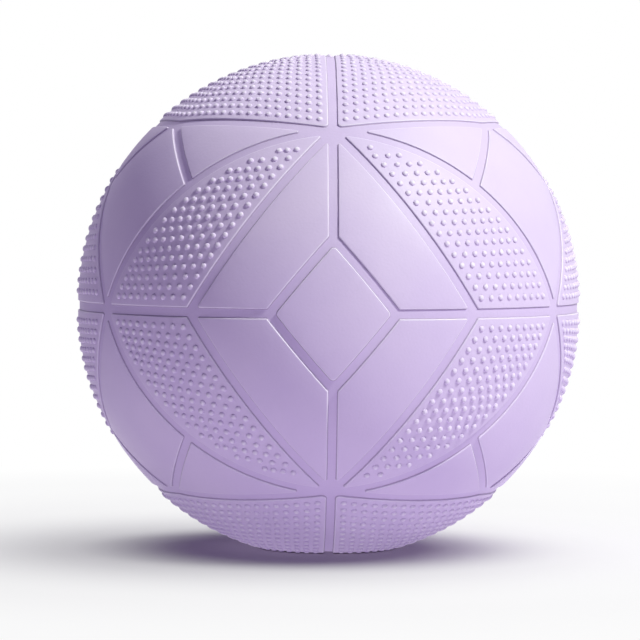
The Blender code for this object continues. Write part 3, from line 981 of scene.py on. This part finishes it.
class BALL_OT_make_carcass(bpy.types.Operator):
    """Airtight skin under the panels, whose outside shows as the floor of the channels"""

    bl_idname = "ball.make_carcass"
    bl_label = "Carcass"

    def execute(self, context):
        ball = Ball(context)
        finish = context.scene.ball_finish
        outside = ball.floor_radius
        lining = outside - ball.sizes.carcass_wall

        def round_skin(radius):
            start = math.asin(ball.hole_radius / radius)
            turns = [start + (math.pi - start) * k / skin_rings for k in range(skin_rings)]
            return [(radius * math.sin(turn), radius * math.cos(turn)) for turn in turns] + [(0.0, -radius)]

        mesh = turned("carcass_skin", round_skin(outside)[::-1] + round_skin(lining), skin_steps, False)
        mesh.transform(Matrix.Translation((0, 0, -ball.centre_height)) @ ball.valve_placing())
        for vert in mesh.vertices:
            vert.co = ball.pressed(vert.co)
        mesh.transform(ball.placing())
        material = rubber("channel_rubber", tuple(finish.channel_colour), finish.roughness)
        piece = add_piece(context, "carcass_skin", mesh, material)
        settle(piece, "ball", "carcass")
        return {"FINISHED"}


class BALL_OT_make_diamonds(bpy.types.Operator):
    """Smooth diamonds on the waist, one of them round the valve"""

    bl_idname = "ball.make_diamonds"
    bl_label = "Diamonds"

    def execute(self, context):
        ball = Ball(context)
        corners, edges = panel_pattern(ball.sizes)["diamond"]
        material = smooth_rubber(context)
        for index, sector in enumerate(sectors):
            holed = sector == valve_sector
            shape = panel_shape(ball, corners, edges, ball.sizes.corner_radius, holed)
            mesh = panel_mesh(ball, "diamond", shape)
            panel_piece(context, ball, "diamond_" + sector, mesh, material, index * sector_turn)
            bpy.data.meshes.remove(mesh)
        return {"FINISHED"}


class BALL_OT_make_flanks(bpy.types.Operator):
    """Smooth panels round each diamond"""

    bl_idname = "ball.make_flanks"
    bl_label = "Flanks"

    def execute(self, context):
        sector_panels(context, "flank", smooth_rubber(context))
        return {"FINISHED"}


class BALL_OT_make_crescents(bpy.types.Operator):
    """Studded panels outside the flanks"""

    bl_idname = "ball.make_crescents"
    bl_label = "Crescents"

    def execute(self, context):
        studs = context.scene.ball_studs

        def sites_for(ball, edges, lean):
            return crescent_sites(ball, studs, edges, lean)

        sector_panels(context, "crescent", studded_rubber(context), sites_for)
        return {"FINISHED"}


class BALL_OT_make_shoulders(bpy.types.Operator):
    """Slim smooth panels between the crescents and the caps"""

    bl_idname = "ball.make_shoulders"
    bl_label = "Shoulders"

    def execute(self, context):
        sector_panels(context, "shoulder", smooth_rubber(context))
        return {"FINISHED"}


class BALL_OT_make_kites(bpy.types.Operator):
    """Smooth panels between neighbouring diamonds"""

    bl_idname = "ball.make_kites"
    bl_label = "Kites"

    def execute(self, context):
        gap_panels(context, "kite", smooth_rubber(context))
        return {"FINISHED"}


class BALL_OT_make_caps(bpy.types.Operator):
    """Studded panels round the two poles"""

    bl_idname = "ball.make_caps"
    bl_label = "Caps"

    def execute(self, context):
        ball = Ball(context)
        edges = panel_pattern(ball.sizes)["cap"][1]
        sites = cap_sites(ball, context.scene.ball_studs, edges)
        gap_panels(context, "cap", studded_rubber(context), sites)
        return {"FINISHED"}


class BALL_OT_make_valve_collar(bpy.types.Operator):
    """Thick collar in the diamond behind, with a recess and a bore for the plug"""

    bl_idname = "ball.make_valve_collar"
    bl_label = "Valve collar"

    def execute(self, context):
        ball = Ball(context)
        valve = context.scene.ball_valve
        finish = context.scene.ball_finish
        radius = ball.radius
        bore = valve.bore_diameter / 2
        recess_floor = radius - valve.head_thickness - valve.bond_gap
        seat_radius = ball.floor_radius - ball.sizes.carcass_wall - valve.bond_gap
        flange_radius = ball.collar_radius + valve.flange_reach
        underside = sphere_height(seat_radius, flange_radius) - valve.flange_thickness
        boss_radius = bore + valve.boss_wall
        boss_end = underside - valve.boss_length
        profile = dome_run(seat_radius, ball.collar_radius, flange_radius, rim_steps)[::-1]
        profile += dome_run(radius, ball.recess_radius, ball.collar_radius, rim_steps)[::-1]
        profile += [(ball.recess_radius, recess_floor), (bore, recess_floor), (bore, boss_end)]
        profile += [(boss_radius, boss_end), (boss_radius, underside), (flange_radius, underside)]
        profile = rounded(profile, valve.lip_radius)
        mesh = turned("valve_collar", profile, valve.turn_steps, True)
        mesh.transform(ball.valve_placing())
        material = rubber("collar_rubber", tuple(finish.collar_colour), finish.roughness)
        piece = add_piece(context, "valve_collar", mesh, material)
        settle(piece, "ball", "valve_bush")
        return {"FINISHED"}


class BALL_OT_make_valve_plug(bpy.types.Operator):
    """Stopper with a domed head and a ribbed stem, pulled out to let the air in or out"""

    bl_idname = "ball.make_valve_plug"
    bl_label = "Valve plug"

    def execute(self, context):
        ball = Ball(context)
        valve = context.scene.ball_valve
        finish = context.scene.ball_finish
        head_radius = valve.head_diameter / 2
        rib_radius = valve.bore_diameter / 2 - valve.running_gap
        stem_radius = rib_radius - valve.rib_height
        tip_radius = stem_radius - valve.rib_height
        rib_pitch = (valve.stem_length - valve.tip_length) / valve.rib_count
        under_head = ball.radius - valve.head_thickness
        stem_end = under_head - valve.stem_length
        profile = dome_run(ball.radius, 0.0, head_radius, head_steps)
        profile += [(head_radius, under_head), (stem_radius, under_head)]
        for rib in range(valve.rib_count):
            start = under_head - rib * rib_pitch - (rib_pitch - valve.rib_length) / 2
            profile += [(stem_radius, start), (rib_radius, start - valve.rib_length / 2)]
            profile.append((stem_radius, start - valve.rib_length))
        profile += [(stem_radius, stem_end + valve.tip_length), (tip_radius, stem_end), (0.0, stem_end)]
        mesh = turned("valve_stopper", rounded(profile, valve.lip_radius), valve.turn_steps, False)
        mesh.transform(ball.valve_placing())
        material = rubber("plug_rubber", tuple(finish.plug_colour), finish.roughness - plug_gloss)
        piece = add_piece(context, "valve_stopper", mesh, material)
        settle(piece, "plug", "valve_plug")
        return {"FINISHED"}


# Stage

def seen_rays(tree):
    """1 for rays from the camera, off a glossy surface or through a clear one, else 0."""
    path = add_node(tree, "ShaderNodeLightPath").outputs
    seen_or_mirrored = math_of(tree, "MAXIMUM", path["Is Camera Ray"], path["Is Glossy Ray"])
    return math_of(tree, "MAXIMUM", seen_or_mirrored, path["Is Transmission Ray"])


def floor_material(tint):
    """Pale floor that takes the ball's shadow and fades to plain white further off, by a painted glow
    that the camera and reflections see and that also pales the outer part of the ball's shadow.
    """
    material = bpy.data.materials.new("studio_floor")
    material.use_nodes = True
    tree = material.node_tree
    shader = tree.nodes["Principled BSDF"]
    shader.inputs["Base Color"].default_value = (*tint, 1.0)
    shader.inputs["Roughness"].default_value = 0.9
    shader.inputs["Specular IOR Level"].default_value = 0.0
    # Painted white glow, shown to the camera and in reflections only
    glow = add_node(tree, "ShaderNodeEmission", {"Color": white, "Strength": 1.0})
    spots = add_node(tree, "ShaderNodeTexCoord").outputs["Object"]
    far = add_node(tree, "ShaderNodeVectorMath", {0: spots}, operation="LENGTH").outputs["Value"]
    fade = add_node(tree, "ShaderNodeValToRGB", {"Fac": far})
    stops = fade.color_ramp.elements
    fade.color_ramp.interpolation = "EASE"
    for place, white_share in floor_fade:
        stop = stops.new(place)
        stop.color = (white_share, white_share, white_share, 1.0)
    stops.remove(stops[-1])
    both = add_node(tree, "ShaderNodeMixShader", {
        "Fac": math_of(tree, "MULTIPLY", fade.outputs["Color"], seen_rays(tree)),
        1: shader.outputs["BSDF"],
        2: glow.outputs["Emission"],
    })
    feed(tree, tree.nodes["Material Output"].inputs["Surface"], both.outputs["Shader"])
    return material


def add_lamp(context, name, power, size, place, target, tint=white[:3]):
    """Round lamp at a place, turned to its target."""
    data = bpy.data.lights.new(name, "AREA")
    data.shape = "DISK"
    data.size = size
    data.energy = power
    data.color = tint
    lamp = bpy.data.objects.new(name, data)
    lamp.location = place
    lamp.rotation_euler = (place - target).to_track_quat("Z", "Y").to_euler()
    context.scene.collection.objects.link(lamp)
    return lamp


def ball_lamp(context, name, power, spot, middle, tint=white[:3]):
    """Lamp at a spot round the ball, turned to the ball's middle."""
    height, side, distance, size = spot
    place = middle + direction(height, side) * distance
    return add_lamp(context, name, power, size, place, middle, tint)


def link_floor(lamp, floor, state):
    """Keep a lamp's light off the floor, or on the floor alone."""
    receivers = bpy.data.collections.new(lamp.name + "_receivers")
    receivers.objects.link(floor)
    receivers.collection_objects[0].light_linking.link_state = state
    lamp.light_linking.receiver_collection = receivers


class BALL_OT_make_stage(bpy.types.Operator):
    """Pale floor, soft lamps and the camera"""

    bl_idname = "ball.make_stage"
    bl_label = "Stage"

    def execute(self, context):
        ball = Ball(context)
        stage = context.scene.ball_stage
        middle = Vector((0, 0, ball.centre_height))
        floor = self.add_floor(context, stage)
        key_spot = (stage.key_height, stage.key_side, stage.key_distance, stage.key_size)
        key = ball_lamp(context, "key_lamp", stage.key_power, key_spot, middle, tuple(stage.key_colour))
        fill = ball_lamp(context, "fill_lamp", stage.fill_power, fill_spot, middle)
        back = ball_lamp(context, "back_lamp", stage.back_power, back_spot, middle)
        for lamp in (key, fill, back):
            link_floor(lamp, floor, "EXCLUDE")
        bounce = add_lamp(context, "bounce_lamp", stage.bounce_power, bounce_size, bounce_place, middle)
        bounce.visible_camera = False
        overhead = ball_lamp(context, "floor_lamp", stage.floor_power, floor_spot, middle)
        link_floor(overhead, floor, "INCLUDE")
        self.light_world(context, stage)
        self.aim_camera(context, stage, middle)
        context.scene.view_settings.view_transform = "Standard"
        return {"FINISHED"}

    def add_floor(self, context, stage):
        """Round floor under the ball."""
        shape = bmesh.new()
        bmesh.ops.create_circle(shape, cap_ends=True, segments=stage_sides, radius=stage_radius)
        mesh = made_mesh("studio_floor", shape)
        mesh.materials.append(floor_material(tuple(stage.floor_colour)))
        floor = bpy.data.objects.new("studio_floor", mesh)
        context.scene.collection.objects.link(floor)
        return floor

    def light_world(self, context, stage):
        """White behind the ball, and a dim even light on it."""
        world = bpy.data.worlds.new("studio")
        world.use_nodes = True
        tree = world.node_tree
        shown = mixed(tree, seen_rays(tree), (*stage.ambient_colour, 1.0), white)
        feed(tree, tree.nodes["Background"].inputs["Color"], shown)
        context.scene.world = world

    def aim_camera(self, context, stage, middle):
        """The photograph's view."""
        data = bpy.data.cameras.new("camera")
        data.sensor_width = 36.0
        data.lens = stage.lens
        data.shift_x, data.shift_y = camera_shift
        way = direction(stage.camera_height, stage.camera_side)
        camera = bpy.data.objects.new("camera", data)
        camera.location = middle + way * stage.camera_distance
        level = way.to_track_quat("Z", "Y")
        camera.rotation_euler = (level @ Quaternion((0, 0, 1), stage.camera_roll)).to_euler()
        context.scene.collection.objects.link(camera)
        context.scene.camera = camera


piece_operators = (
    BALL_OT_make_carcass,
    BALL_OT_make_diamonds,
    BALL_OT_make_flanks,
    BALL_OT_make_crescents,
    BALL_OT_make_shoulders,
    BALL_OT_make_kites,
    BALL_OT_make_caps,
    BALL_OT_make_valve_collar,
    BALL_OT_make_valve_plug,
    BALL_OT_make_stage,
)

settings = {
    "ball_sizes": BallSizes,
    "ball_studs": StudSizes,
    "ball_valve": ValveSizes,
    "ball_finish": BallFinish,
    "ball_stage": StageSettings,
}


class BALL_PT_sidebar(bpy.types.Panel):
    """Sizes, finish and build steps of the ball"""

    bl_label = "Mini Pilates Ball"
    bl_idname = "BALL_PT_sidebar"
    bl_space_type = "VIEW_3D"
    bl_region_type = "UI"
    bl_category = "Ball"

    def draw(self, context):
        layout = self.layout
        for operator in piece_operators:
            layout.operator(operator.bl_idname)
        for name, group in settings.items():
            box = layout.box()
            values = getattr(context.scene, name)
            for field in group.__annotations__:
                box.prop(values, field)


def register():
    for cls in (*settings.values(), *piece_operators, BALL_PT_sidebar):
        bpy.utils.register_class(cls)
    for name, group in settings.items():
        setattr(bpy.types.Scene, name, PointerProperty(type=group))


def unregister():
    for name in settings:
        delattr(bpy.types.Scene, name)
    for cls in (BALL_PT_sidebar, *reversed(piece_operators), *reversed(settings.values())):
        bpy.utils.unregister_class(cls)


def main():
    register()
    bpy.ops.ball.make_carcass()
    bpy.ops.ball.make_diamonds()
    bpy.ops.ball.make_flanks()
    bpy.ops.ball.make_crescents()
    bpy.ops.ball.make_shoulders()
    bpy.ops.ball.make_kites()
    bpy.ops.ball.make_caps()
    bpy.ops.ball.make_valve_collar()
    bpy.ops.ball.make_valve_plug()
    bpy.ops.ball.make_stage()


if __name__ == "__main__":
    main()
